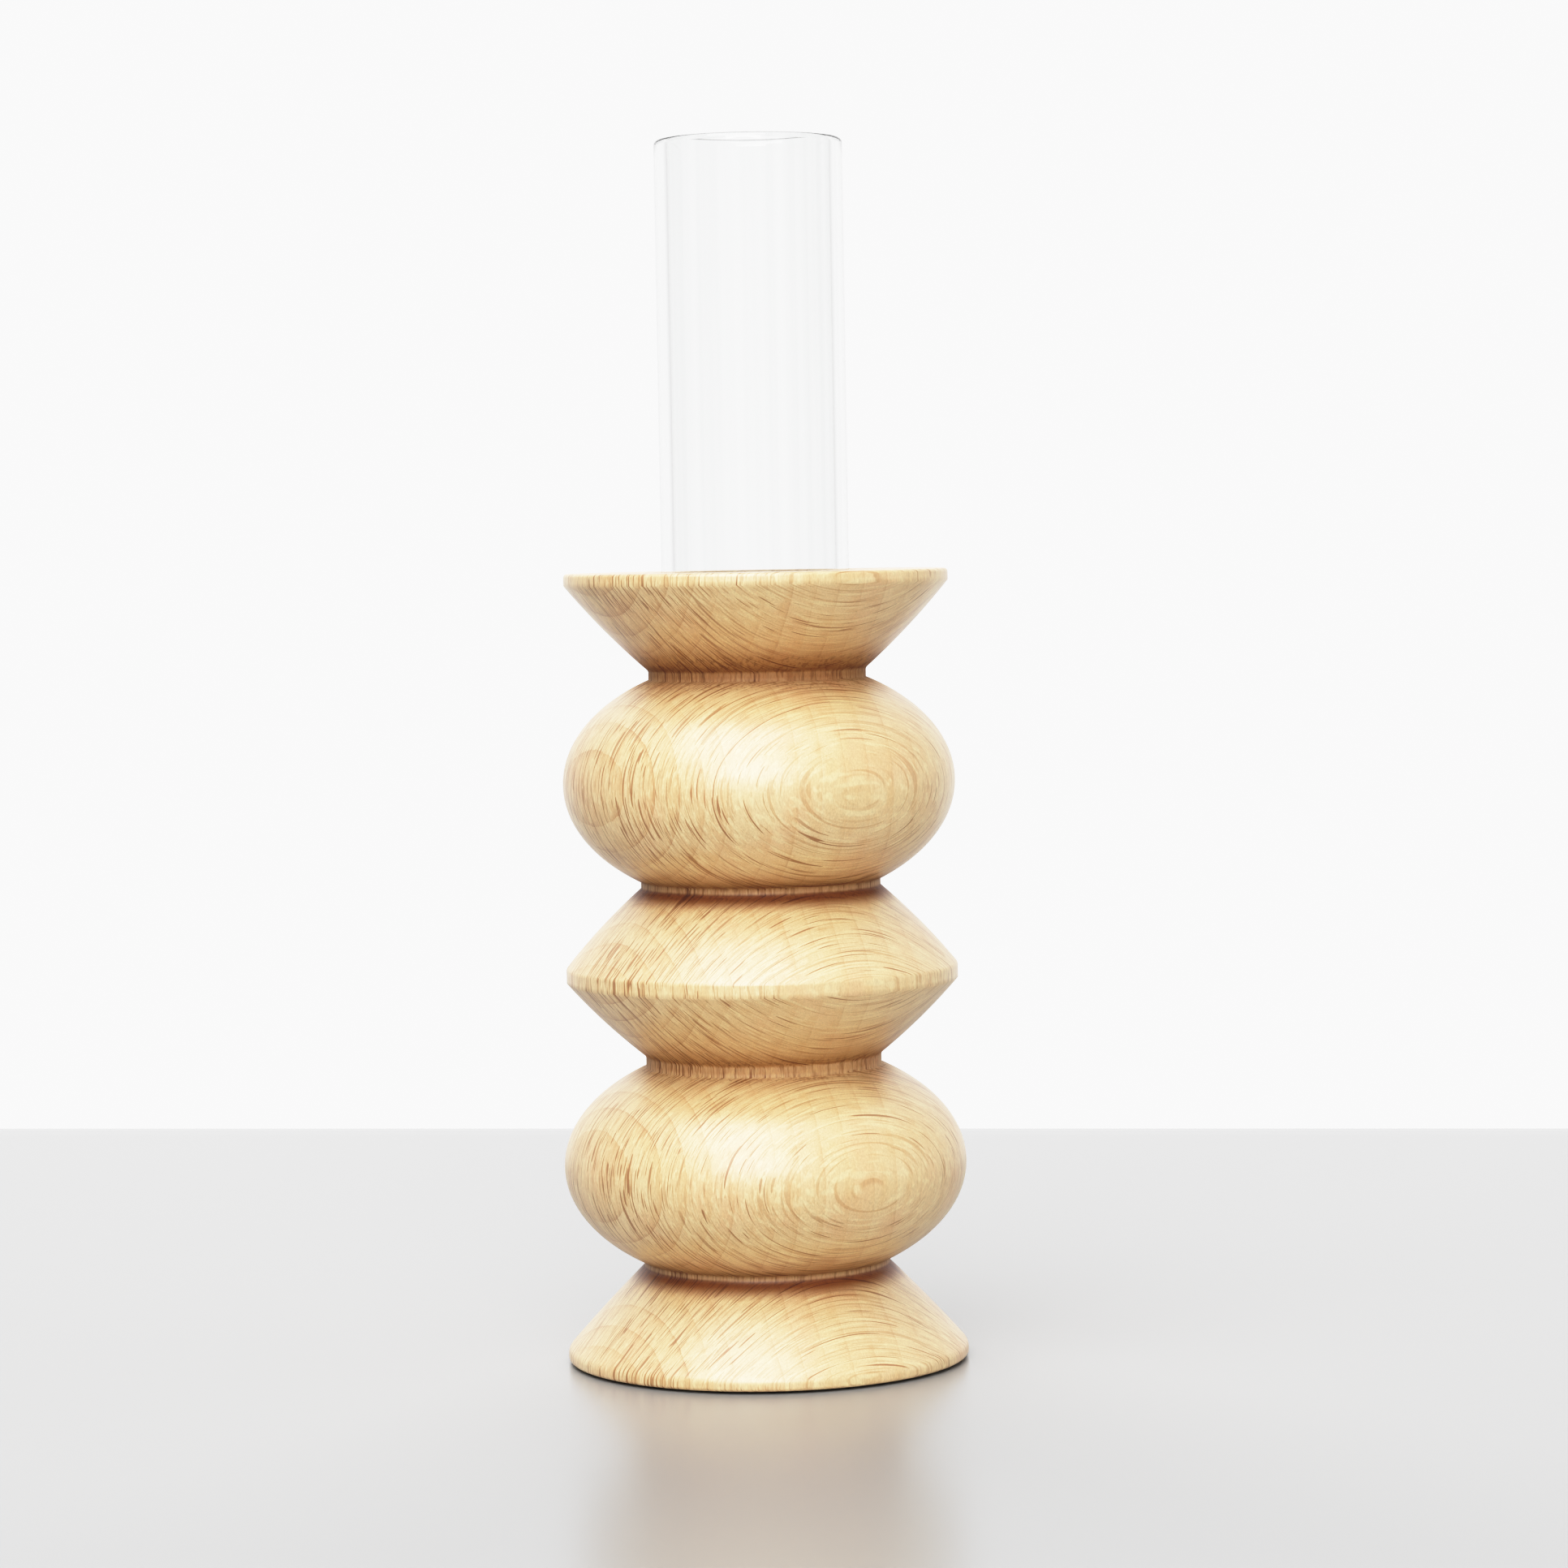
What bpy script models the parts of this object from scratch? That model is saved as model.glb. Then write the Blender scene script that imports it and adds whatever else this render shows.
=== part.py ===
"""Turned beech candlestick with a clear glass tube standing in its top.

Units are metres, +Z is up and the origin is the middle of the underside.
The wooden holder is one spindle-turned piece. Seen from the side it is,
from the ground up: a cone, a bead, a double cone, a bead and an inverted
cone, with a narrow neck between each two. A flat-bottomed bore in the top
holds the glass tube.
"""
import math

import bmesh
import bpy
from mathutils import Vector

# ---------------------------------------------------------------- holder
HOLDER_TOP = 0.1267          # height of the flat top
PAD_PROUD = 0.0004           # how far the felt stands below the wood

# The rims of the cones: radius and height of the upright band that ends each.
BASE_RIM = (0.0322, 0.0018)
MIDDLE_RIM = (0.0314, 0.0022)
TOP_RIM = (0.0307, 0.0019)
MIDDLE_RIM_HEIGHT = 0.0624   # where the double cone's rim has its middle
RIM_ROUND = 0.0005
TOP_FLANK_BOW = 0.0004       # how far a cone's flank swells out of a straight line
MIDDLE_FLANK_BOW = 0.0004
BASE_FLANK_BOW = 0.00015

# A neck is a short cylinder: radius, lower end, upper end.
LOWEST_NECK = (0.0198, 0.0154, 0.0163)
SECOND_NECK = (0.0189, 0.0475, 0.0493)
THIRD_NECK = (0.0192, 0.0762, 0.0773)
TOP_NECK = (0.0174, 0.1096, 0.1110)

# A bead is an oblate ellipsoid: radius, half height, height of its middle.
LOWER_BEAD = (0.0323, 0.0195, 0.0317)
UPPER_BEAD = (0.0314, 0.0199, 0.0930)

# ------------------------------------------------------------ glass tube
TUBE_RADIUS = 0.0150
TUBE_WALL = 0.0021
TUBE_TOP = 0.1952
TUBE_HEEL_ROUND = 0.0030     # outside, where the wall turns into the bottom
TUBE_RIM_ROUND = 0.0008

# ------------------------------------------- bore, cushion and base pad
BORE_CLEARANCE = 0.0004      # round the tube
BORE_FLOOR = 0.1120          # stays above the top neck, which is solid
BORE_MOUTH_CHAMFER = 0.0005
TOUCHING_GAP = 0.0003        # between pieces that rest on each other
CUSHION_THICKNESS = 0.0010
CUSHION_SIDE_GAP = 0.0006
PAD_RADIUS = 0.0285
PAD_THICKNESS = 0.0016

BORE_RADIUS = TUBE_RADIUS + BORE_CLEARANCE
CUSHION_FLOOR = BORE_FLOOR + TOUCHING_GAP
TUBE_FOOT = CUSHION_FLOOR + CUSHION_THICKNESS + TOUCHING_GAP
RECESS_RADIUS = PAD_RADIUS + TOUCHING_GAP
RECESS_CEILING = PAD_THICKNESS + TOUCHING_GAP

WOOD_SEGMENTS = 72
TUBE_SEGMENTS = 48
PAD_SEGMENTS = 48
BEAD_STEPS = 12
FLANK_STEPS = 3
EDGE_STEPS = 2

COLOURS = {
    "beech": ((0.78, 0.60, 0.38, 1.0), 0.45),
    "clear_glass": ((0.95, 0.97, 0.97, 1.0), 0.03),
    "felt": ((0.09, 0.055, 0.04, 1.0), 0.95),
}


def clear_scene():
    for item in list(bpy.data.objects):
        bpy.data.objects.remove(item, do_unlink=True)


def make_material(name, slot):
    colour, roughness = COLOURS[slot]
    material = bpy.data.materials.new(name)
    material.use_nodes = True
    shader = material.node_tree.nodes["Principled BSDF"]
    shader.inputs["Base Color"].default_value = colour
    shader.inputs["Roughness"].default_value = roughness
    shader.inputs["Metallic"].default_value = 0.0
    if slot == "clear_glass":
        shader.inputs["Transmission Weight"].default_value = 1.0
        shader.inputs["IOR"].default_value = 1.47
    return material


def rounded_corner(before, corner, after, radius, steps=EDGE_STEPS):
    """Points of the arc that replaces a corner between two straight runs."""
    corner = Vector(corner)
    to_before = (Vector(before) - corner).normalized()
    to_after = (Vector(after) - corner).normalized()
    half_angle = to_before.angle(to_after) / 2
    inward = (to_before + to_after).normalized()
    centre = corner + inward * (radius / math.sin(half_angle))
    reach = radius / math.tan(half_angle)
    start = corner + to_before * reach - centre
    end = corner + to_after * reach - centre
    turn = math.remainder(math.atan2(end.y, end.x) - math.atan2(start.y, start.x), math.tau)
    first = math.atan2(start.y, start.x)
    return [
        (centre.x + radius * math.cos(first + turn * i / steps),
         centre.y + radius * math.sin(first + turn * i / steps))
        for i in range(steps + 1)
    ]


def bead(shape, neck_below, neck_above):
    """A truncated ellipsoid between two necks, from the bottom up."""
    radius, half_height, middle = shape
    low = -math.acos(neck_below[0] / radius)
    high = math.acos(neck_above[0] / radius)
    return [
        (radius * math.cos(low + (high - low) * i / BEAD_STEPS),
         middle + half_height * math.sin(low + (high - low) * i / BEAD_STEPS))
        for i in range(BEAD_STEPS + 1)
    ]


def flank(start, end, bow):
    """Points after start of a cone's flank that swells by bow at its middle."""
    start, end = Vector(start), Vector(end)
    along = end - start
    outward = Vector((along.y, -along.x)).normalized()
    points = []
    for i in range(1, FLANK_STEPS + 1):
        t = i / FLANK_STEPS
        points.append(tuple(start + along * t + outward * (4 * bow * t * (1 - t))))
    return points


def holder_outline():
    """The holder's section, from the recess's middle out, up and into the bore."""
    base_radius, base_band = BASE_RIM
    middle_radius, middle_band = MIDDLE_RIM
    top_radius, top_band = TOP_RIM
    underside = (base_radius, PAD_PROUD)
    base_shoulder = (base_radius, PAD_PROUD + base_band)
    middle_foot = (middle_radius, MIDDLE_RIM_HEIGHT - middle_band / 2)
    middle_shoulder = (middle_radius, MIDDLE_RIM_HEIGHT + middle_band / 2)
    top_foot = (top_radius, HOLDER_TOP - top_band)
    top_edge = (top_radius, HOLDER_TOP)
    bore_mouth = (BORE_RADIUS + BORE_MOUTH_CHAMFER, HOLDER_TOP)

    outline = [(0.0, RECESS_CEILING), (RECESS_RADIUS, RECESS_CEILING), (RECESS_RADIUS, PAD_PROUD)]
    outline += rounded_corner(outline[-1], underside, base_shoulder, RIM_ROUND)
    outline.append(base_shoulder)
    outline += flank(base_shoulder, (LOWEST_NECK[0], LOWEST_NECK[1]), BASE_FLANK_BOW)
    outline += bead(LOWER_BEAD, LOWEST_NECK, SECOND_NECK)
    below_middle = (SECOND_NECK[0], SECOND_NECK[2])
    outline.append(below_middle)
    outline += flank(below_middle, middle_foot, MIDDLE_FLANK_BOW)
    outline.append(middle_shoulder)
    outline += flank(middle_shoulder, (THIRD_NECK[0], THIRD_NECK[1]), MIDDLE_FLANK_BOW)
    outline += bead(UPPER_BEAD, THIRD_NECK, TOP_NECK)
    above_top_neck = (TOP_NECK[0], TOP_NECK[2])
    outline.append(above_top_neck)
    outline += flank(above_top_neck, top_foot, TOP_FLANK_BOW)
    outline += rounded_corner(top_foot, top_edge, bore_mouth, RIM_ROUND)
    outline += [
        bore_mouth,
        (BORE_RADIUS, HOLDER_TOP - BORE_MOUTH_CHAMFER),
        (BORE_RADIUS, BORE_FLOOR),
        (0.0, BORE_FLOOR),
    ]
    return outline


def tube_outline():
    """The tube's section above its own foot: out, up the outside, down the inside."""
    height = TUBE_TOP - TUBE_FOOT
    inner_radius = TUBE_RADIUS - TUBE_WALL
    foot_corner = (TUBE_RADIUS, 0.0)
    rim_outside = (TUBE_RADIUS, height)
    rim_inside = (inner_radius, height)
    inner_corner = (inner_radius, TUBE_WALL)
    outline = [(0.0, 0.0)]
    outline += rounded_corner(outline[0], foot_corner, rim_outside, TUBE_HEEL_ROUND, 4)
    outline += rounded_corner(foot_corner, rim_outside, rim_inside, TUBE_RIM_ROUND, 3)
    outline += rounded_corner(rim_outside, rim_inside, inner_corner, TUBE_RIM_ROUND, 3)
    outline += rounded_corner(rim_inside, inner_corner, (0.0, TUBE_WALL), TUBE_HEEL_ROUND - 0.001, 4)
    outline.append((0.0, TUBE_WALL))
    return outline


def disc_outline(radius, thickness):
    return [(0.0, 0.0), (radius, 0.0), (radius, thickness), (0.0, thickness)]


def turn(name, outline, segments, slot, height=0.0, parent=None):
    """One closed solid of revolution: a section spun round the Z axis."""
    mesh = bpy.data.meshes.new(name)
    shape = bmesh.new()
    section = [shape.verts.new((radius, 0.0, z)) for radius, z in outline]
    edges = [shape.edges.new(pair) for pair in zip(section, section[1:])]
    bmesh.ops.spin(
        shape, geom=section + edges, cent=(0, 0, 0), axis=(0, 0, 1),
        angle=math.tau, steps=segments, use_merge=True,
    )
    bmesh.ops.remove_doubles(shape, verts=shape.verts, dist=1e-6)
    bmesh.ops.recalc_face_normals(shape, faces=shape.faces)
    shape.to_mesh(mesh)
    shape.free()
    mesh.shade_smooth()
    mesh.set_sharp_from_angle(angle=math.radians(35))
    mesh.materials.append(make_material(name + "_material", slot))
    piece = bpy.data.objects.new(name, mesh)
    piece.location = (0.0, 0.0, height)
    piece.parent = parent
    bpy.context.collection.objects.link(piece)
    return piece


def main():
    clear_scene()
    body = turn("turned_body", holder_outline(), WOOD_SEGMENTS, "beech")
    turn("base_pad", disc_outline(PAD_RADIUS, PAD_THICKNESS), PAD_SEGMENTS, "felt", parent=body)
    cushion_radius = BORE_RADIUS - CUSHION_SIDE_GAP
    turn("tube_cushion", disc_outline(cushion_radius, CUSHION_THICKNESS), PAD_SEGMENTS, "felt",
         CUSHION_FLOOR, body)
    turn("glass_tube", tube_outline(), TUBE_SEGMENTS, "clear_glass", TUBE_FOOT, body)


main()
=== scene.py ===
"""The looks of the turned beech candlestick with its clear glass tube.

Everything is in metres, +Z up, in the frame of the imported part. The wood is
one solid texture: growth rings across the piece, rays as thin upright
sheets at right angles to them, and fibre along +Z. Each cut through that
block, whether bead, cone or neck, then shows the figure it should.
"""
import math

import bpy
from mathutils import Matrix, Vector, noise


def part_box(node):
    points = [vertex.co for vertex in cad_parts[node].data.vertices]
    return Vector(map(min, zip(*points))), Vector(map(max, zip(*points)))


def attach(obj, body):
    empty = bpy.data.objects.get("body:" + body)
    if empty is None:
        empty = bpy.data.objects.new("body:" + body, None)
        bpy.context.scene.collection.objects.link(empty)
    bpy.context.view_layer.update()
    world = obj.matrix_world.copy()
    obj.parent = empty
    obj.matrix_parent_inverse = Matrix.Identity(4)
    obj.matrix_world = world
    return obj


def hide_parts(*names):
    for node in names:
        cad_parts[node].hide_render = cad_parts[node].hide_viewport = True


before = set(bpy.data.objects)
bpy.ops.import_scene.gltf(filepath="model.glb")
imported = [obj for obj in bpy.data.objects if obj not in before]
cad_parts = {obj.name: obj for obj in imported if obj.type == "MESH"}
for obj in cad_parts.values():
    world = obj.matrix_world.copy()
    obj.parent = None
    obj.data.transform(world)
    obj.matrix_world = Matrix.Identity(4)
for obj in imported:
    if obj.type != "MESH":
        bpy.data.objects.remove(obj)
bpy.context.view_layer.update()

MM = 0.001

# ------------------------------------------------------ the turned holder
HOLDER_TOP = 126.7 * MM
PAD_PROUD = 0.4 * MM

# The rims of the cones: radius and height of the upright band that ends each.
BASE_RIM = (32.2 * MM, 1.8 * MM)
MIDDLE_RIM = (31.4 * MM, 2.2 * MM)
TOP_RIM = (30.7 * MM, 1.9 * MM)
MIDDLE_RIM_HEIGHT = 62.4 * MM
TOP_FLANK_BOW = 0.4 * MM
MIDDLE_FLANK_BOW = 0.4 * MM
BASE_FLANK_BOW = 0.15 * MM
EDGE_ROUND = 0.6 * MM         # at the underside and at the flat top
SHOULDER_ROUND = 1.8 * MM     # where the base's and the top's rims meet their flanks
CRISP_ROUND = 1.0 * MM        # on the double cone's rim
BORE_ROUND = 0.2 * MM

# A neck: radius, lower end, upper end. A bead: radius, half height, middle.
LOWEST_NECK = (19.8 * MM, 15.4 * MM, 16.3 * MM)
SECOND_NECK = (18.9 * MM, 47.5 * MM, 49.3 * MM)
THIRD_NECK = (19.2 * MM, 76.2 * MM, 77.3 * MM)
TOP_NECK = (17.4 * MM, 109.6 * MM, 111.0 * MM)
LOWER_BEAD = (32.3 * MM, 19.5 * MM, 31.7 * MM)
UPPER_BEAD = (31.4 * MM, 19.9 * MM, 93.0 * MM)

TUBE_RADIUS = 15.0 * MM
TUBE_WALL = 2.1 * MM
TUBE_HEEL_ROUND = 3.0 * MM    # outside, where the wall turns into the bottom
TUBE_HEEL_INNER_ROUND = 2.0 * MM
TUBE_RIM_ROUND = 0.8 * MM
BORE_RADIUS = 15.4 * MM
BORE_FLOOR = 112.0 * MM
BORE_MOUTH_CHAMFER = 0.5 * MM
TOUCHING_GAP = 0.3 * MM
PAD_RADIUS = 28.5 * MM
PAD_THICKNESS = 1.6 * MM
FELT_EDGE = 0.35              # how round a felt disc's edges are, of its thickness
FELT_UNEVENNESS = 0.05 * MM
FELT_LUMP = 0.5 * MM

# How finely each section is spun, and its longest straight run.
WOOD_SEGMENTS, WOOD_RUN = 200, 0.8 * MM
GLASS_SEGMENTS, GLASS_RUN = 160, 4.0 * MM
FELT_SEGMENTS, FELT_RUN = 144, 0.9 * MM

# Steps along a bead, along a flank, and round each kind of corner.
BEAD_STEPS = 56
FLANK_STEPS = 10
WOOD_CORNER_STEPS = 6
HEEL_STEPS = 10
RIM_STEPS = 8
FELT_CORNER_STEPS = 4

# ---------------------------------------------------------------- the wood
# The texture's own axes are in millimetres and turned about +Z by HEART_TURN.
HEART_TURN = math.radians(150.0)
HEART_REACH = 29.8            # from the holder's axis to where the rings start
ALONG_RINGS = (math.sin(HEART_TURN), math.cos(HEART_TURN), 0.0)

# Colours of the wood itself, and of what lies in it.
DULL_WOOD = (0.67, 0.475, 0.245, 1)
PALE_WOOD = (0.76, 0.585, 0.345, 1)
BLUSH = (0.68, 0.42, 0.23, 1)
STREAK = (0.62, 0.39, 0.18, 1)
LATE_WOOD = (0.58, 0.34, 0.14, 1)
RING_EDGE = (0.40, 0.19, 0.075, 1)
FLAKE = (0.86, 0.72, 0.42, 1)
SEAM = (0.42, 0.22, 0.085, 1)
TICK = (0.40, 0.20, 0.075, 1)
STROKE = (0.27, 0.105, 0.02, 1)

# What the stains and the painted shade in the grooves multiply the wood's colour by.
# Partly the grooves' own deeper colour, mostly painted shade.
GROOVE_STAIN_AND_SHADE = (0.46, 0.27, 0.125, 1)
# Painted shade on faces turned down, near the necks.
UNDERSIDE_SHADE = (0.84, 0.72, 0.60, 1)
# Painted shadow in the corners under the beads, where a cone's upper face meets the neck above it.
CORNER_SHADOW = (0.35, 0.17, 0.075, 1)
# Partly stain, mostly painted shade, in the narrowest neck and down the bore.
DEEPEST_STAIN_AND_SHADE = (0.76, 0.70, 0.66, 1)
TORN_STAIN = (0.50, 0.36, 0.24, 1)

# ----------------------------------------------------------- glass and felt
GLASS_LINE = (0.93, 0.935, 0.933, 1)
GLASS_CLEAR = (0.982, 0.986, 0.984, 1)
FELT_DARK = (0.045, 0.026, 0.018, 1)
FELT_LIGHT = (0.10, 0.062, 0.042, 1)
FELT_HAIR = (0.17, 0.115, 0.08, 1)
TABLE_GREY = (0.35, 0.35, 0.35, 1.0)

# ------------------------------------------------------------- the camera
CAMERA_PLACE = (4.0 * MM, -716.2 * MM, 132.3 * MM)
CAMERA_PITCH = 3.18          # degrees below the horizontal
CAMERA_ROLL = -1.0           # degrees about the line of sight
CAMERA_LENS = 102.8          # mm, on a 36 mm sensor

# ------------------------------------------------------- backdrop and light
BACKDROP = 1.25               # to the eye, and in mirrors except at its sides
BACKDROP_SIDES = 0.88         # at its far left and right, in mirrors only
SIDES_FADE = (0.62, 0.74)    # how far to the side a direction points where it fades
AMBIENT = 0.20                # on dull surfaces

# Each softbox: name, place, width and height, power, and whether mirrors show it.
SOFTBOXES = (
    ("key_softbox", (-0.218, -0.468, 1.05), (0.95, 0.95), 11.2, True),
    ("front_softbox", (-0.126, -1.44, 0.756), (1.2, 0.6), 14.5, True),
    ("back_softbox", (-0.10, 1.15, 0.85), (1.6, 0.8), 22.0, False),
    ("low_softbox", (-0.25, -1.30, 0.10), (1.2, 0.18), 3.4, False),
    ("side_softbox", (1.0, -0.1, 0.12), (0.7, 0.5), 3.2, False),
)
LIT_POINT = (0.0, 0.0, 0.08)

# Light that reaches the film, and how bright it is shown; FILM_WHITE shows as white.
FILM_WHITE = 2.0
FILM_RESPONSE = (
    (0.06, 0.03), (0.13, 0.085), (0.26, 0.21), (0.45, 0.43), (0.70, 0.70), (0.90, 0.84), (1.25, 0.95),
)


# ================================================================ outlines
def arc_corner(before, corner, after, radius, steps):
    """Points of the arc that rounds off a corner between two straight runs."""
    corner = Vector(corner)
    to_before = (Vector(before) - corner).normalized()
    to_after = (Vector(after) - corner).normalized()
    half_angle = to_before.angle(to_after) / 2
    centre = corner + (to_before + to_after).normalized() * (radius / math.sin(half_angle))
    reach = radius / math.tan(half_angle)
    start = corner + to_before * reach - centre
    end = corner + to_after * reach - centre
    first = math.atan2(start.y, start.x)
    turn = math.remainder(math.atan2(end.y, end.x) - first, math.tau)
    return [
        (centre.x + radius * math.cos(first + turn * i / steps),
         centre.y + radius * math.sin(first + turn * i / steps))
        for i in range(steps + 1)
    ]


def bead_run(shape, neck_below, neck_above):
    """A truncated ellipsoid between two necks, from the bottom up."""
    radius, half_height, middle = shape
    low = -math.acos(neck_below[0] / radius)
    high = math.acos(neck_above[0] / radius)
    angles = [low + (high - low) * i / BEAD_STEPS for i in range(BEAD_STEPS + 1)]
    return [(radius * math.cos(a), middle + half_height * math.sin(a)) for a in angles]


def flank(start, end, bow):
    """Points after start of a cone's flank that swells by bow at its middle."""
    start, end = Vector(start), Vector(end)
    along = end - start
    outward = Vector((along.y, -along.x)).normalized()
    shares = [i / FLANK_STEPS for i in range(1, FLANK_STEPS + 1)]
    return [tuple(start + along * t + outward * (4 * bow * t * (1 - t))) for t in shares]


def softened(outline, rounds):
    """The outline with the corners named in rounds, place to radius, turned into arcs."""
    points = [outline[0]]
    for before, corner, after in zip(outline, outline[1:], outline[2:]):
        if corner in rounds:
            points += arc_corner(before, corner, after, rounds[corner], WOOD_CORNER_STEPS)
        else:
            points.append(corner)
    points.append(outline[-1])
    return points


def subdivided(outline, longest):
    """The same outline with its long straight runs cut into shorter ones."""
    points = [outline[0]]
    for start, end in zip(outline, outline[1:]):
        pieces = max(1, math.ceil(math.dist(start, end) / longest))
        for i in range(1, pieces + 1):
            points.append((start[0] + (end[0] - start[0]) * i / pieces,
                           start[1] + (end[1] - start[1]) * i / pieces))
    return points


def holder_outline():
    """The holder's section, from the recess's middle out, up and into the bore."""
    recess_ceiling = PAD_THICKNESS + TOUCHING_GAP
    recess_radius = PAD_RADIUS + TOUCHING_GAP
    base_radius, base_band = BASE_RIM
    middle_radius, middle_band = MIDDLE_RIM
    top_radius, top_band = TOP_RIM
    underside = (base_radius, PAD_PROUD)
    base_shoulder = (base_radius, PAD_PROUD + base_band)
    middle_foot = (middle_radius, MIDDLE_RIM_HEIGHT - middle_band / 2)
    middle_shoulder = (middle_radius, MIDDLE_RIM_HEIGHT + middle_band / 2)
    top_foot = (top_radius, HOLDER_TOP - top_band)
    top_edge = (top_radius, HOLDER_TOP)
    bore_mouth = (BORE_RADIUS + BORE_MOUTH_CHAMFER, HOLDER_TOP)
    bore_lip = (BORE_RADIUS, HOLDER_TOP - BORE_MOUTH_CHAMFER)

    rounds = {underside: EDGE_ROUND, top_edge: EDGE_ROUND}
    rounds[base_shoulder] = rounds[top_foot] = SHOULDER_ROUND
    rounds[middle_foot] = rounds[middle_shoulder] = CRISP_ROUND
    for radius, low, high in (LOWEST_NECK, SECOND_NECK, THIRD_NECK, TOP_NECK):
        rounds[(radius, low)] = rounds[(radius, high)] = 0.5 * (high - low)
    rounds[bore_mouth] = rounds[bore_lip] = BORE_ROUND

    outline = [(0.0, recess_ceiling), (recess_radius, recess_ceiling), (recess_radius, PAD_PROUD)]
    outline += [underside, base_shoulder]
    outline += flank(base_shoulder, LOWEST_NECK[:2], BASE_FLANK_BOW)
    outline += bead_run(LOWER_BEAD, LOWEST_NECK, SECOND_NECK)
    outline.append((SECOND_NECK[0], SECOND_NECK[2]))
    outline += flank(outline[-1], middle_foot, MIDDLE_FLANK_BOW)
    outline.append(middle_shoulder)
    outline += flank(middle_shoulder, THIRD_NECK[:2], MIDDLE_FLANK_BOW)
    outline += bead_run(UPPER_BEAD, THIRD_NECK, TOP_NECK)
    outline.append((TOP_NECK[0], TOP_NECK[2]))
    outline += flank(outline[-1], top_foot, TOP_FLANK_BOW)
    outline += [top_edge, bore_mouth, bore_lip, (BORE_RADIUS, BORE_FLOOR), (0.0, BORE_FLOOR)]
    return subdivided(softened(outline, rounds), WOOD_RUN)


def tube_outline():
    """The tube's section in place: out, up the outside and down the inside."""
    low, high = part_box("glass_tube")
    foot, top = low.z, high.z
    inner_radius = TUBE_RADIUS - TUBE_WALL
    foot_corner = (TUBE_RADIUS, foot)
    rim_outside = (TUBE_RADIUS, top)
    rim_inside = (inner_radius, top)
    inner_corner = (inner_radius, foot + TUBE_WALL)
    outline = [(0.0, foot)]
    outline += arc_corner(outline[0], foot_corner, rim_outside, TUBE_HEEL_ROUND, HEEL_STEPS)
    outline += arc_corner(foot_corner, rim_outside, rim_inside, TUBE_RIM_ROUND, RIM_STEPS)
    outline += arc_corner(rim_outside, rim_inside, inner_corner, TUBE_RIM_ROUND, RIM_STEPS)
    inner_middle = (0.0, inner_corner[1])
    outline += arc_corner(rim_inside, inner_corner, inner_middle, TUBE_HEEL_INNER_ROUND, RIM_STEPS)
    outline.append(inner_middle)
    return subdivided(outline, GLASS_RUN)


def felt_outline(radius, bottom, thickness):
    """A felt disc's section: out, up its edge and back in."""
    start, end = (0.0, bottom), (0.0, bottom + thickness)
    foot, head = (radius, bottom), (radius, bottom + thickness)
    edge = FELT_EDGE * thickness
    outline = [start]
    outline += arc_corner(start, foot, head, edge, FELT_CORNER_STEPS)
    outline += arc_corner(foot, head, end, edge, FELT_CORNER_STEPS)
    outline.append(end)
    return subdivided(outline, FELT_RUN)


# ================================================================== meshes
def turned(name, outline, segments):
    """A closed solid of revolution about +Z from a section that starts and ends on the axis."""
    verts = [(0.0, 0.0, outline[0][1]), (0.0, 0.0, outline[-1][1])]
    rings = outline[1:-1]
    for radius, height in rings:
        for k in range(segments):
            angle = math.tau * k / segments
            verts.append((radius * math.cos(angle), radius * math.sin(angle), height))
    faces = []
    for k in range(segments):
        after = (k + 1) % segments
        faces.append((0, 2 + after, 2 + k))
        for row in range(len(rings) - 1):
            here, above = 2 + row * segments, 2 + (row + 1) * segments
            faces.append((here + k, here + after, above + after, above + k))
        last = 2 + (len(rings) - 1) * segments
        faces.append((last + k, last + after, 1))
    mesh = bpy.data.meshes.new(name)
    mesh.from_pydata(verts, [], faces)
    mesh.validate()
    mesh.shade_smooth()
    piece = bpy.data.objects.new(name, mesh)
    bpy.context.scene.collection.objects.link(piece)
    return piece


def roughened(piece, amount, lump, bottom):
    """Moves a felt piece's points a little, the same way each run, and none below bottom."""
    for vertex in piece.data.vertices:
        shift = noise.noise_vector(vertex.co / lump)
        vertex.co += shift * amount
        vertex.co.z = max(vertex.co.z, bottom)


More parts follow.
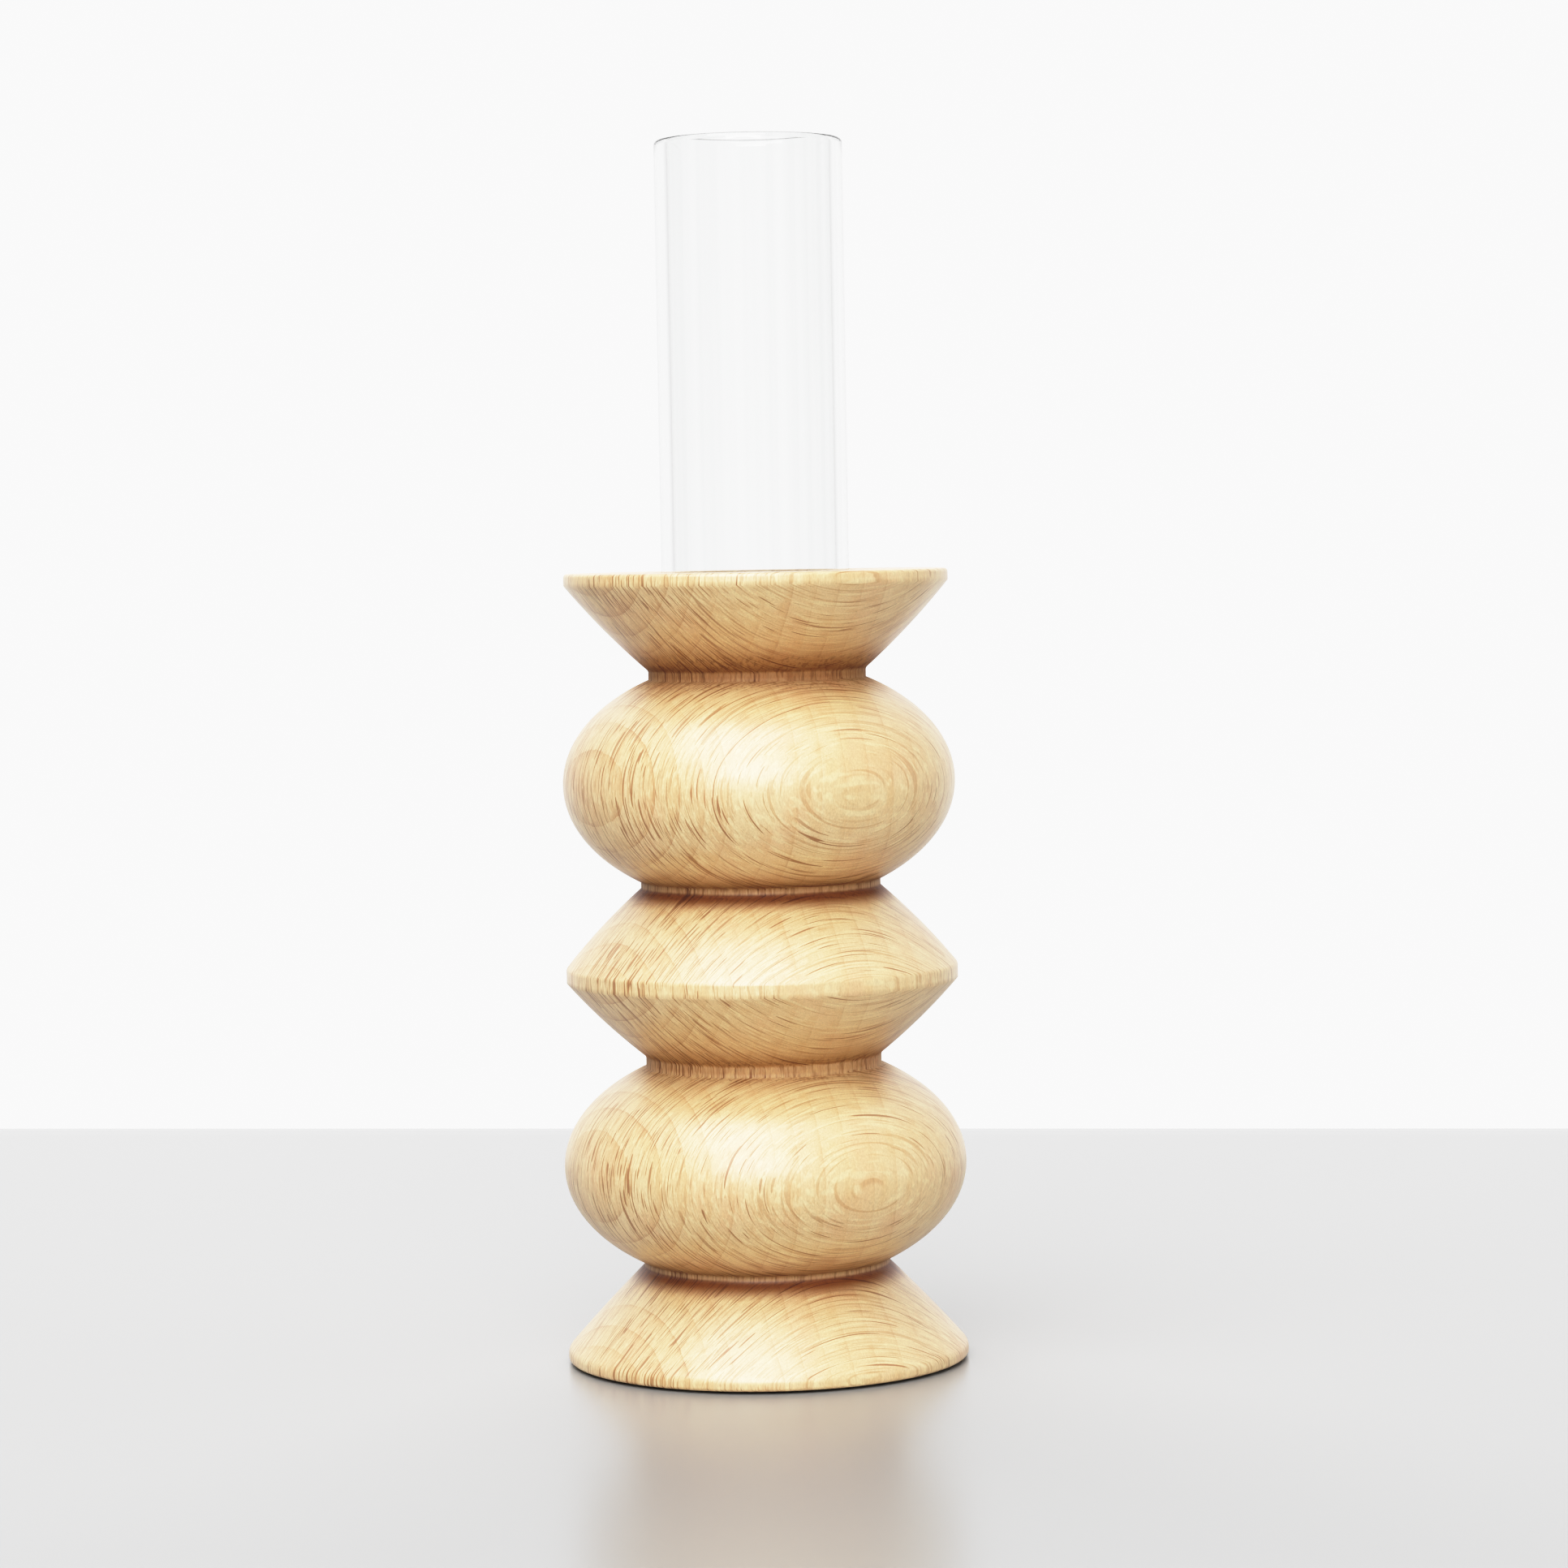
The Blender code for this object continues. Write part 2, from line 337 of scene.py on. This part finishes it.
# =============================================================== materials
class Graph:
    """Short ways to add and join the nodes of one material or world."""

    def __init__(self, owner):
        owner.use_nodes = True
        self.owner = owner
        self.tree = owner.node_tree

    def add(self, kind, inputs=(), **settings):
        node = self.tree.nodes.new(kind)
        for key, value in settings.items():
            setattr(node, key, value)
        for key, value in dict(inputs).items():
            self.feed(node.inputs[key], value)
        return node

    def feed(self, socket, value):
        if isinstance(value, bpy.types.NodeSocket):
            self.tree.links.new(value, socket)
        else:
            socket.default_value = value

    def math(self, operation, a, b=0.0, c=0.0):
        return self.add("ShaderNodeMath", {0: a, 1: b, 2: c}, operation=operation).outputs[0]

    def product(self, value, *others):
        for other in others:
            value = self.math("MULTIPLY", value, other)
        return value

    def line(self, value, slope, start):
        """The value times slope, plus start."""
        return self.math("MULTIPLY_ADD", value, slope, start)

    def inverse(self, value):
        return self.math("SUBTRACT", 1.0, value)

    def window(self, value, low, high):
        """0 below low, 1 above high, and a smooth step between."""
        node = self.add("ShaderNodeMapRange", {"Value": value, "From Min": low, "From Max": high},
                        interpolation_type="SMOOTHSTEP")
        return node.outputs[0]

    def fading(self, value, low, high):
        """1 below low, 0 above high, and a smooth step between."""
        return self.inverse(self.window(value, low, high))

    def mapped(self, vector, scale, rotation=(0.0, 0.0, 0.0), offset=(0.0, 0.0, 0.0)):
        node = self.add("ShaderNodeMapping", {
            "Vector": vector, "Location": offset, "Rotation": rotation, "Scale": scale})
        return node.outputs[0]

    def noise(self, vector, detail=2.0, roughness=0.5):
        node = self.add("ShaderNodeTexNoise", {
            "Vector": vector, "Scale": 1.0, "Detail": detail, "Roughness": roughness})
        return node.outputs["Fac"]

    def grain(self, vector, size, detail=2.0, roughness=0.5, offset=(0.0, 0.0, 0.0)):
        """Noise whose lumps are about size, in the vector's own unit, along its three axes."""
        scale = tuple(1 / length for length in size)
        return self.noise(self.mapped(vector, scale, offset=offset), detail, roughness)

    def patches(self, vector, size, low, high, detail=2.0, offset=(0.0, 0.0, 0.0)):
        """1 in scattered patches of about that size and 0 between them."""
        return self.window(self.grain(vector, size, detail, offset=offset), low, high)

    def parts(self, vector):
        return self.add("ShaderNodeSeparateXYZ", {0: vector}).outputs

    def blend(self, factor, a, b, mode="MIX"):
        node = self.add("ShaderNodeMix", data_type="RGBA", blend_type=mode)
        self.feed(node.inputs[0], factor)
        self.feed(node.inputs[6], a)
        self.feed(node.inputs[7], b)
        return node.outputs[2]

    def set(self, **values):
        """Values for the shader's own sockets; a space is written as _."""
        shader = self.tree.nodes["Principled BSDF"]
        for key, value in values.items():
            self.feed(shader.inputs[key.replace("_", " ")], value)


def new_material(name):
    return Graph(bpy.data.materials.new(name))


def growth_rings(graph, block):
    """The dark edge and the soft band of late wood of each growth ring.

    Dark late wood ends sharply at the pale early wood of the next ring.
    """
    across, sideways, _ = graph.parts(block)
    sway = graph.grain(block, (28, 34, 70))
    ragged = graph.grain(block, (0.9, 1.1, 5.0))
    depth = graph.math("SUBTRACT", HEART_REACH, across)
    depth = graph.line(graph.math("SUBTRACT", sway, 0.5), 4.0, depth)
    depth = graph.math("ADD", depth, graph.product(sideways, sideways, 0.0035))
    depth = graph.line(graph.math("SUBTRACT", ragged, 0.5), 0.35, depth)

    # Counted outwards from the heart, with rings that grow a little wider.
    count = graph.math("DIVIDE", depth, graph.line(depth, 0.02, 2.8))
    part = graph.math("FRACT", count)
    number = graph.math("FLOOR", count)
    chance = graph.add("ShaderNodeTexWhiteNoise", {"W": number}, noise_dimensions="1D").outputs["Value"]
    strength = graph.math("MAXIMUM", graph.line(chance, 0.45, 0.15), graph.fading(number, 0.5, 4.5))
    before_edge = graph.fading(part, 0.975, 1.0)
    edge = graph.product(graph.math("POWER", part, 12.0), before_edge)
    band = graph.product(graph.math("POWER", part, 2.0), before_edge)
    breakup = graph.patches(block, (4, 6, 16), 0.34, 0.66)
    return graph.product(edge, strength, breakup), graph.product(band, strength)


def ray_figure(graph, block, normal):
    """Strokes, ticks, seams and flakes: the rays as the surface cuts them.

    Rays are thin upright sheets that run across the rings. They show as dark
    strokes where they are cut on end, and as pale flakes where they lie flat.
    """
    across, sideways, up = graph.parts(block)
    drift = graph.grain(block, (40, 30, 26), 1.0, offset=(5.0, 2.0, 8.0))
    bent = graph.add("ShaderNodeCombineXYZ", {
        0: across, 1: graph.line(drift, 1.6, sideways), 2: up}).outputs[0]
    lie = graph.add("ShaderNodeVectorMath", {0: normal, 1: ALONG_RINGS}, operation="DOT_PRODUCT")
    lie = graph.math("ABSOLUTE", lie.outputs["Value"])
    on_end = graph.fading(lie, 0.80, 0.97)
    square_on = graph.fading(lie, 0.35, 0.75)

    thin = graph.product(graph.patches(bent, (13, 0.22, 5.0), 0.71, 0.745, 0.0), on_end)
    thick = graph.patches(bent, (12, 0.29, 5.0), 0.645, 0.67, 0.0, (6.0, 2.0, 9.0))
    strokes = graph.math("MAXIMUM", thin, graph.product(thick, square_on, 0.95))
    ticks = graph.patches(bent, (9, 0.20, 2.4), 0.62, 0.68, 1.0, (3.0, 7.0, 1.0))
    ticks = graph.product(ticks, graph.line(on_end, 0.6, 0.4))
    seams = graph.patches(bent, (26, 0.30, 9.0), 0.60, 0.66, 1.0, (1.0, 4.0, 6.0))
    flakes = graph.patches(bent, (9, 0.42, 1.7), 0.52, 0.66, 1.0, (9.0, 1.0, 4.0))
    return strokes, ticks, seams, flakes


def groove_stains_and_shade(graph, place, normal, torn):
    """How deep in a groove each point is, and the stains and painted shade there, each with its colour.

    Grooves are a deeper red-brown partly of their own and mostly by painted shade:
    darker in the grooves, on faces turned down, in the narrowest neck and in the
    corners under the beads. The bore is as narrow as a neck, so these stop short
    of the flat top.
    """
    flat = graph.add("ShaderNodeVectorMath", {0: place, 1: (1.0, 1.0, 0.0)}, operation="MULTIPLY")
    reach = graph.add("ShaderNodeVectorMath", {0: flat.outputs[0]}, operation="LENGTH").outputs["Value"]
    level = graph.parts(place)[2]
    facing = graph.parts(normal)[2]
    below_top = graph.fading(level, HOLDER_TOP - 6.0 * MM, HOLDER_TOP - 3.0 * MM)

    groove = graph.product(graph.fading(reach, 17.6 * MM, 23.2 * MM), below_top)
    # Partly the grooves' own colour, mostly painted shade, weaker on faces turned up to the light.
    stain_and_shade = graph.product(groove, graph.line(graph.math("MAXIMUM", facing, 0.0), -0.28, 0.76))
    # Painted shade on faces turned down, near the necks.
    downward = graph.window(graph.product(facing, -1.0), 0.1, 0.7)
    underside_shade = graph.product(downward, graph.fading(reach, 19.0 * MM, 30.5 * MM))
    # Partly stain, mostly painted shade, in the narrowest neck and down the bore.
    deepest_shade = graph.product(graph.fading(reach, 17.4 * MM, 18.8 * MM), below_top)
    in_neck = graph.product(graph.fading(reach, 19.7 * MM, 20.6 * MM), below_top)

    # Painted shadow: the corner between a cone's upper face and the neck above it, under the bead, is
    # darkest.
    corner_shadows = 0.0
    for radius, low, _ in (LOWEST_NECK, THIRD_NECK):
        aside = graph.math("SUBTRACT", reach, radius + 0.4 * MM)
        apart = graph.math("SUBTRACT", level, low - 0.4 * MM)
        gap = graph.math("SQRT", graph.line(aside, aside, graph.product(apart, apart)))
        above_corner = graph.window(level, low - 0.1 * MM, low + 0.4 * MM)
        corner = graph.product(graph.fading(gap, 0.3 * MM, 3.4 * MM), graph.line(above_corner, -0.7, 1.0))
        corner_shadows = graph.math("MAXIMUM", corner_shadows, corner)

    return groove, (
        (stain_and_shade, GROOVE_STAIN_AND_SHADE),
        (underside_shade, UNDERSIDE_SHADE),
        (corner_shadows, CORNER_SHADOW),
        (deepest_shade, DEEPEST_STAIN_AND_SHADE),
        (graph.product(torn, in_neck, 0.55), TORN_STAIN),
    )


def beech_material():
    """Pale beech, turned and oiled to a satin."""
    graph = new_material("beech")
    coordinates = graph.add("ShaderNodeTexCoord")
    place, normal = coordinates.outputs["Object"], coordinates.outputs["Normal"]

    # The block's first axis points to the heart, its second along the rings
    # and its third along the fibre.
    block = graph.mapped(place, (1 / MM, 1 / MM, 1 / MM), (0.0, 0.0, HEART_TURN))
    ring_edge, ring_band = growth_rings(graph, block)
    strokes, ticks, seams, flakes = ray_figure(graph, block, normal)

    # Fibre, pores, torn fibre, slow drifts of tone, and the stains and painted shade in the grooves.
    fibre = graph.grain(block, (0.24, 0.20, 2.2), 3.0, 0.65)
    pores = graph.grain(block, (0.20, 0.14, 0.55), 2.0, 0.7)
    torn = graph.patches(block, (0.55, 0.55, 3.0), 0.50, 0.68, 1.0)
    cloud = graph.grain(block, (9, 13, 30), 3.0)
    streaks = graph.patches(block, (2.2, 1.3, 24), 0.48, 0.72)
    blush = graph.patches(block, (7, 9, 11), 0.45, 0.75, offset=(2.0, 5.0, 3.0))
    groove, stains_and_shade = groove_stains_and_shade(graph, place, normal, torn)

    colour = graph.blend(cloud, DULL_WOOD, PALE_WOOD)
    for cover, strength, tint in (
        (blush, 0.55, BLUSH),
        (streaks, 0.35, STREAK),
        (ring_band, 0.44, LATE_WOOD),
        (ring_edge, 0.85, RING_EDGE),
        (flakes, 0.38, FLAKE),
        (seams, 0.46, SEAM),
        (ticks, 0.42, TICK),
        (strokes, 0.86, STROKE),
    ):
        colour = graph.blend(graph.product(cover, strength), colour, tint)
    tone = graph.product(graph.line(fibre, 0.44, 0.78), graph.line(pores, 0.60, 0.70))
    grey = graph.add("ShaderNodeCombineColor", {0: tone, 1: tone, 2: tone}).outputs[0]
    # Fibre and pore tone, then the groove stains and the painted shade, multiply the colour.
    for cover, tint in ((1.0, grey), *stains_and_shade):
        colour = graph.blend(cover, colour, tint, "MULTIPLY")

    # Very fine turning marks, and fibre and strokes a few hundredths of a millimetre deep.
    turning = graph.grain(block, (30, 30, 0.16), 1.0)
    height = graph.line(turning, 0.25, graph.product(fibre, 0.6))
    height = graph.math("SUBTRACT", height, graph.product(strokes, 0.6))
    bump = graph.add("ShaderNodeBump", {"Strength": 0.32, "Distance": 0.05 * MM, "Height": height})

    # The polish is thickest on the crowns and thin in the grooves.
    polish = graph.line(groove, -0.9, 0.95)
    roughness = graph.line(groove, 0.3, graph.line(fibre, 0.14, 0.40))
    graph.set(Base_Color=colour, Normal=bump.outputs[0], Specular_IOR_Level=0.85, Roughness=roughness,
              Coat_Weight=polish, Coat_Roughness=0.34, Coat_IOR=1.5, Coat_Normal=bump.outputs[0])
    return graph.owner


def glass_material():
    """Clear drawn glass with faint upright draw lines."""
    graph = new_material("clear_glass")
    place = graph.add("ShaderNodeTexCoord").outputs["Object"]
    lines = graph.noise(graph.mapped(place, (420.0, 420.0, 2.0)), 3.0, 0.6)
    colour = graph.blend(graph.window(lines, 0.40, 0.62), GLASS_LINE, GLASS_CLEAR)
    graph.set(Base_Color=colour, Roughness=0.0, IOR=1.47, Transmission_Weight=1.0)
    return graph.owner


def felt_material():
    """Dark brown pressed felt."""
    graph = new_material("felt")
    place = graph.add("ShaderNodeTexCoord").outputs["Object"]
    lumps = graph.noise(graph.mapped(place, (1500.0, 1500.0, 1500.0)), 3.0)
    hairs = graph.noise(graph.mapped(place, (5200.0, 5200.0, 5200.0)), 4.0, 0.7)
    colour = graph.blend(lumps, FELT_DARK, FELT_LIGHT)
    colour = graph.blend(graph.window(hairs, 0.52, 0.75), colour, FELT_HAIR)
    bump = graph.add("ShaderNodeBump", {
        "Strength": 0.8, "Distance": 0.2 * MM, "Height": graph.math("ADD", lumps, hairs)})
    graph.set(Base_Color=colour, Roughness=0.95, Specular_IOR_Level=0.2, Sheen_Weight=0.4,
              Normal=bump.outputs[0])
    return graph.owner


def floor_material():
    """A grey table top with a soft shine."""
    graph = new_material("table_top")
    graph.set(Base_Color=TABLE_GREY, Roughness=0.24, Specular_IOR_Level=0.5)
    return graph.owner


# ================================================================== pieces
def make_holder():
    piece = turned("beech_holder", holder_outline(), WOOD_SEGMENTS)
    piece.data.materials.append(beech_material())
    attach(piece, "holder")
    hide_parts("turned_body")


def make_tube():
    piece = turned("glass_cylinder", tube_outline(), GLASS_SEGMENTS)
    piece.data.materials.append(glass_material())
    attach(piece, "tube")
    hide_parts("glass_tube")


def make_felt(name, node, material):
    """A felt disc in the place that a plain CAD disc holds."""
    low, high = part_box(node)
    thickness = high.z - low.z
    piece = turned(name, felt_outline(high.x, low.z, thickness), FELT_SEGMENTS)
    roughened(piece, FELT_UNEVENNESS, FELT_LUMP, low.z)
    piece.data.materials.append(material)
    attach(piece, "holder")
    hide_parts(node)


# =================================================================== stage
def make_floor():
    """A pale table top that bends down and away a little behind the object."""
    half_width, front, back, bend = 1.6, -1.4, 0.267, 0.18
    skew = math.tan(math.radians(-7.47))
    rows = [(front, 0.0, 0.0)]
    for degrees in range(0, 61, 3):
        angle = math.radians(degrees)
        rows.append((back + bend * math.sin(angle), -bend * (1.0 - math.cos(angle)), skew))
    verts = [(x, y + x * slope, z) for y, z, slope in rows for x in (-half_width, half_width)]
    faces = [(k, k + 1, k + 3, k + 2) for k in range(0, 2 * len(rows) - 2, 2)]
    mesh = bpy.data.meshes.new("floor")
    mesh.from_pydata(verts, [], faces)
    mesh.shade_smooth()
    floor = bpy.data.objects.new("floor", mesh)
    mesh.materials.append(floor_material())
    bpy.context.scene.collection.objects.link(floor)


def make_softbox(name, place, size, power, mirrored):
    light = bpy.data.lights.new(name, "AREA")
    light.shape = "RECTANGLE"
    light.size, light.size_y = size
    light.energy = power
    lamp = bpy.data.objects.new(name, light)
    lamp.visible_glossy = mirrored
    lamp.visible_transmission = mirrored
    lamp.location = place
    lamp.rotation_euler = (Vector(LIT_POINT) - Vector(place)).to_track_quat("-Z", "Y").to_euler()
    bpy.context.scene.collection.objects.link(lamp)


def make_world():
    """A backdrop that is white to the eye, dimmer at its sides in mirrors and soft as a light."""
    world = bpy.data.worlds.new("studio")
    graph = Graph(world)
    graph.tree.nodes.clear()
    rays = graph.add("ShaderNodeLightPath").outputs
    direction = graph.add("ShaderNodeTexCoord").outputs["Generated"]
    aside = graph.math("ABSOLUTE", graph.parts(direction)[0])
    start, end = SIDES_FADE
    sides = graph.add("ShaderNodeMapRange", {
        "Value": aside, "From Min": start, "From Max": end, "To Max": BACKDROP - BACKDROP_SIDES})
    loss = graph.product(sides.outputs[0], graph.inverse(rays["Is Camera Ray"]))
    level = graph.math("SUBTRACT", BACKDROP, loss)
    level = graph.product(level, graph.inverse(rays["Is Diffuse Ray"]))
    level = graph.line(rays["Is Diffuse Ray"], AMBIENT, level)
    background = graph.add("ShaderNodeBackground", {"Color": (1.0, 1.0, 1.0, 1.0), "Strength": level})
    graph.add("ShaderNodeOutputWorld", {"Surface": background.outputs[0]})
    bpy.context.scene.world = world


def make_camera():
    data = bpy.data.cameras.new("camera")
    data.lens = CAMERA_LENS
    data.sensor_width = 36.0
    data.clip_start = 0.01
    data.clip_end = 20.0
    camera = bpy.data.objects.new("camera", data)
    camera.matrix_world = (
        Matrix.Translation(CAMERA_PLACE)
        @ Matrix.Rotation(math.radians(90.0 - CAMERA_PITCH), 4, "X")
        @ Matrix.Rotation(math.radians(CAMERA_ROLL), 4, "Z")
    )
    bpy.context.scene.collection.objects.link(camera)
    bpy.context.scene.camera = camera


def set_film_response():
    """Standard colours with a soft toe and a soft shoulder, as a camera has."""
    view = bpy.context.scene.view_settings
    view.view_transform = "Standard"
    view.use_curve_mapping = True
    mapping = view.curve_mapping
    mapping.white_level = (FILM_WHITE, FILM_WHITE, FILM_WHITE)
    curve = mapping.curves[3]
    for light, shown in FILM_RESPONSE:
        curve.points.new(light / FILM_WHITE, shown)
    mapping.update()


make_camera()
make_holder()
make_tube()
felt = felt_material()
make_felt("felt_base_pad", "base_pad", felt)
make_felt("felt_tube_cushion", "tube_cushion", felt)
make_floor()
make_world()
for softbox in SOFTBOXES:
    make_softbox(*softbox)
set_film_response()
